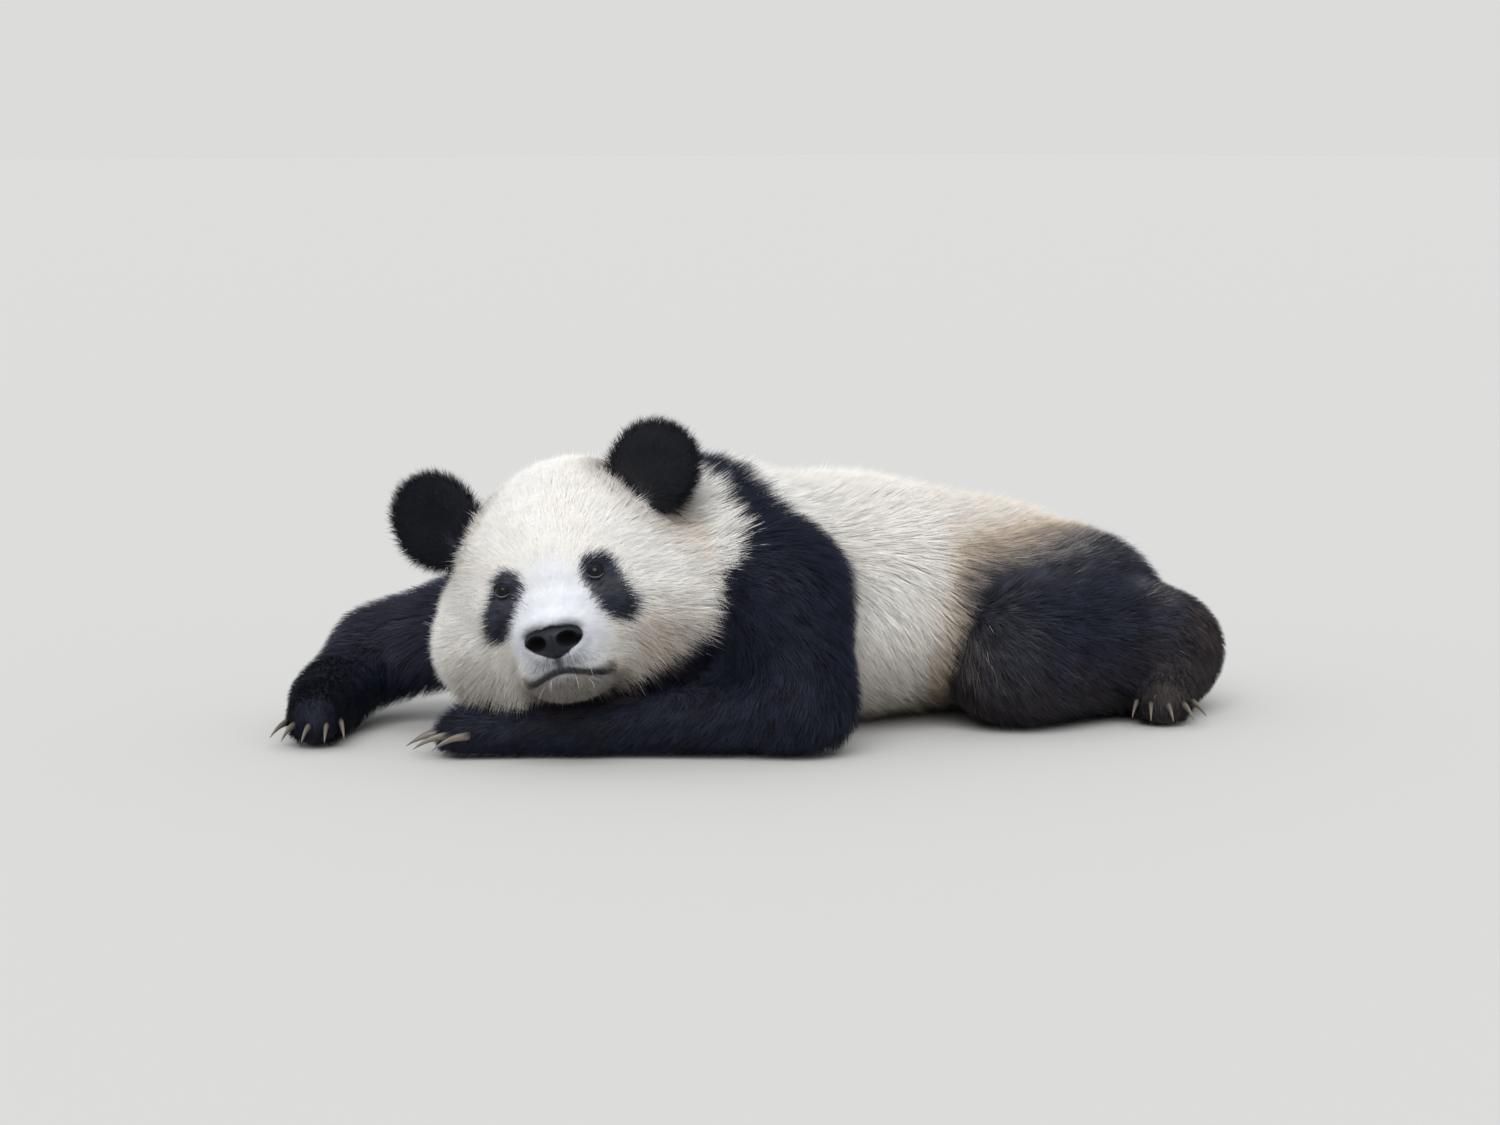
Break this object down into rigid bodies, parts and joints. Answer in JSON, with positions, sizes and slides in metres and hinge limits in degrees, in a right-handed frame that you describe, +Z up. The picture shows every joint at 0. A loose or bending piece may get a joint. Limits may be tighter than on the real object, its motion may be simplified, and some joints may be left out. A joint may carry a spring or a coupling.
{
  "type": "giant panda",
  "caption": "Life-size still model of an adult giant panda lying on its belly, head turned to its left and resting on its folded left foreleg.",
  "frame": {"origin": "bottom centre of the whole animal's box, on the floor that it lies on", "axes": "+Z up; +Y from the chest to the tail along the trunk, so the animal faces -Y; +X to the animal's left"},
  "size_m": [0.8768, 1.3602, 0.4255],
  "materials": {
    "white_coat": "dense warm white fur, cream to tan where it is stained",
    "black_coat": "dense black fur with a faint bluish sheen, brownish at its edges",
    "nose_skin": "moist black pebbled skin",
    "eye": "wet dark brown, almost black",
    "claw": "smooth horn, darker at the root"
  },
  "bodies": {
    "root": {"claw_foreleg_left_1": "claw", "claw_foreleg_left_2": "claw", "claw_foreleg_left_3": "claw", "claw_foreleg_left_4": "claw", "claw_foreleg_left_5": "claw", "claw_foreleg_right_1": "claw", "claw_foreleg_right_2": "claw", "claw_foreleg_right_3": "claw", "claw_foreleg_right_4": "claw", "claw_foreleg_right_5": "claw", "claw_hind_leg_left_1": "claw", "claw_hind_leg_left_2": "claw", "claw_hind_leg_left_3": "claw", "claw_hind_leg_left_4": "claw", "claw_hind_leg_left_5": "claw", "claw_hind_leg_right_1": "claw", "claw_hind_leg_right_2": "claw", "claw_hind_leg_right_3": "claw", "claw_hind_leg_right_4": "claw", "claw_hind_leg_right_5": "claw", "ear_left": "black_coat", "ear_right": "black_coat", "eye_left": "eye", "eye_right": "eye", "forearm_left": "black_coat", "forearm_right": "black_coat", "forepaw_left": "black_coat", "forepaw_right": "black_coat", "head": "white_coat", "hind_foot_left": "black_coat", "hind_foot_right": "black_coat", "neck": "white_coat", "nose": "nose_skin", "shank_left": "black_coat", "shank_right": "black_coat", "tail": "white_coat", "thigh_left": "black_coat", "thigh_right": "black_coat", "trunk": "white_coat", "upper_arm_left": "black_coat", "upper_arm_right": "black_coat"}
  },
  "joints": []
}
